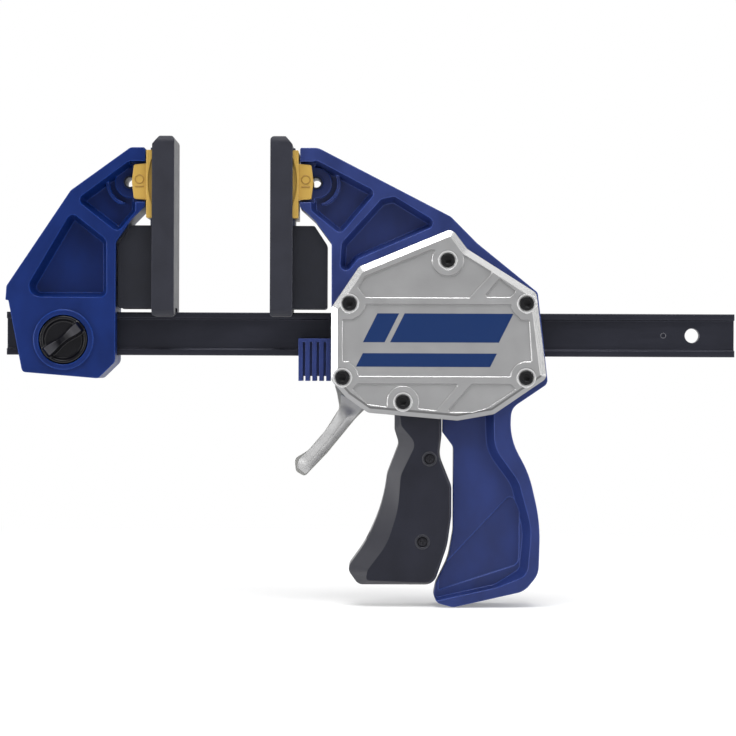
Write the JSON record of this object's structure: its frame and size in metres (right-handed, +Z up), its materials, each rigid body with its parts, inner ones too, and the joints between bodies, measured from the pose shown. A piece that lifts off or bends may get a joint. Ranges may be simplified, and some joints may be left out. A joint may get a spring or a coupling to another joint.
{
  "type": "quick release bar clamp",
  "caption": "One-handed bar clamp with a pinned jaw, a trigger-driven sliding jaw, swivelling pads and a release lever on an I-section bar.",
  "frame": {"origin": "middle of the fixed pad's clamping face", "axes": "+X along the bar, from the fixed jaw towards the moving jaw and the bar's free end; +Z up the jaws, away from the handle; +Y across the clamp, so the knob and the bolt heads face -Y"},
  "size_m": [0.406, 0.045, 0.2603],
  "materials": {
    "bar_steel": "black oxide, satin",
    "blue_plastic": "moulded, fine grain",
    "core_plastic": "moulded",
    "pad_rubber": "fine grain",
    "yellow_plastic": "moulded",
    "black_plastic": "moulded, satin",
    "black_steel": "black oxide",
    "zinc_steel": "zinc plated",
    "plain_steel": "oiled",
    "spring_steel": "oiled",
    "cover_metal": "cast, satin",
    "cast_metal": "cast, polished edges"
  },
  "bodies": {
    "bar_unit": {"bar": "bar_steel", "fixed_jaw": "blue_plastic", "fixed_pivot_sleeve": "zinc_steel", "lock_nut": "zinc_steel"},
    "lock_knob": {"lock_knob": "black_plastic", "lock_stud": "zinc_steel"},
    "fixed_pad": {"fixed_pad_core": "core_plastic", "fixed_pad_boot": "pad_rubber", "fixed_pad_heel": "pad_rubber", "fixed_pad_clip": "yellow_plastic"},
    "carriage": {"main_frame": "blue_plastic", "bar_guide": "blue_plastic", "front_cover": "cover_metal", "rear_cover": "cover_metal", "cover_bolts": "black_steel", "cover_nuts": "zinc_steel", "moving_pivot_sleeve": "zinc_steel", "trigger_sleeve": "zinc_steel", "release_sleeve": "zinc_steel", "brake_spring": "spring_steel", "drive_spring": "spring_steel", "spring_seat": "plain_steel"},
    "moving_pad": {"moving_pad_core": "core_plastic", "moving_pad_boot": "pad_rubber", "moving_pad_heel": "pad_rubber", "moving_pad_clip": "yellow_plastic"},
    "trigger": {"trigger_core": "plain_steel", "trigger_front_shell": "black_plastic", "trigger_rear_shell": "black_plastic", "trigger_screws": "black_steel"},
    "release_lever": {"release_lever": "cast_metal"},
    "brake_plate": {"brake_plate": "plain_steel"},
    "drive_plates": {"drive_plate_1": "plain_steel", "drive_plate_2": "plain_steel"}
  },
  "joints": [
    {"name": "jaw_slide", "type": "slide", "parent": "bar_unit", "child": "carriage", "axis": [1, 0, 0], "range_m": [-0.0515, 0.0991]},
    {"name": "knob_turn", "type": "hinge", "parent": "bar_unit", "child": "lock_knob", "pos_m": [-0.0612, 0, -0.0631], "axis": [0, -1, 0], "continuous": true},
    {"name": "fixed_pad_tilt", "type": "hinge", "parent": "bar_unit", "child": "fixed_pad", "pos_m": [-0.0253, 0, 0.0246], "axis": [0, -1, 0], "range_deg": [-0.8, 2.2]},
    {"name": "moving_pad_tilt", "type": "hinge", "parent": "carriage", "child": "moving_pad", "pos_m": [0.0783, 0, 0.0246], "axis": [0, 1, 0], "range_deg": [-1.8, 2.2]},
    {"name": "trigger_pull", "type": "hinge", "parent": "carriage", "child": "trigger", "pos_m": [0.1512, 0, -0.0186], "axis": [0, -1, 0], "range_deg": [0, 11], "stiffness_Nm_per_rad": 1.5, "springref_deg": -14.32},
    {"name": "drive_stroke", "type": "slide", "parent": "carriage", "child": "drive_plates", "axis": [1, 0, 0], "range_m": [0, 0.0048], "deforming": ["drive_spring"]},
    {"name": "release_squeeze", "type": "hinge", "parent": "carriage", "child": "release_lever", "pos_m": [0.0933, 0, -0.0835], "axis": [0, -1, 0], "range_deg": [0, 15], "stiffness_Nm_per_rad": 0.3, "springref_deg": -17.19},
    {"name": "brake_tilt", "type": "hinge", "parent": "carriage", "child": "brake_plate", "pos_m": [0.102, 0, -0.042], "axis": [0, -1, 0], "range_deg": [0, 1.6], "deforming": ["brake_spring"]}
  ],
  "couplings": [
    {"joint": "drive_stroke", "follows": "trigger_pull", "m_per_rad": 0.0249},
    {"joint": "brake_tilt", "follows": "release_squeeze", "ratio": 0.1}
  ]
}
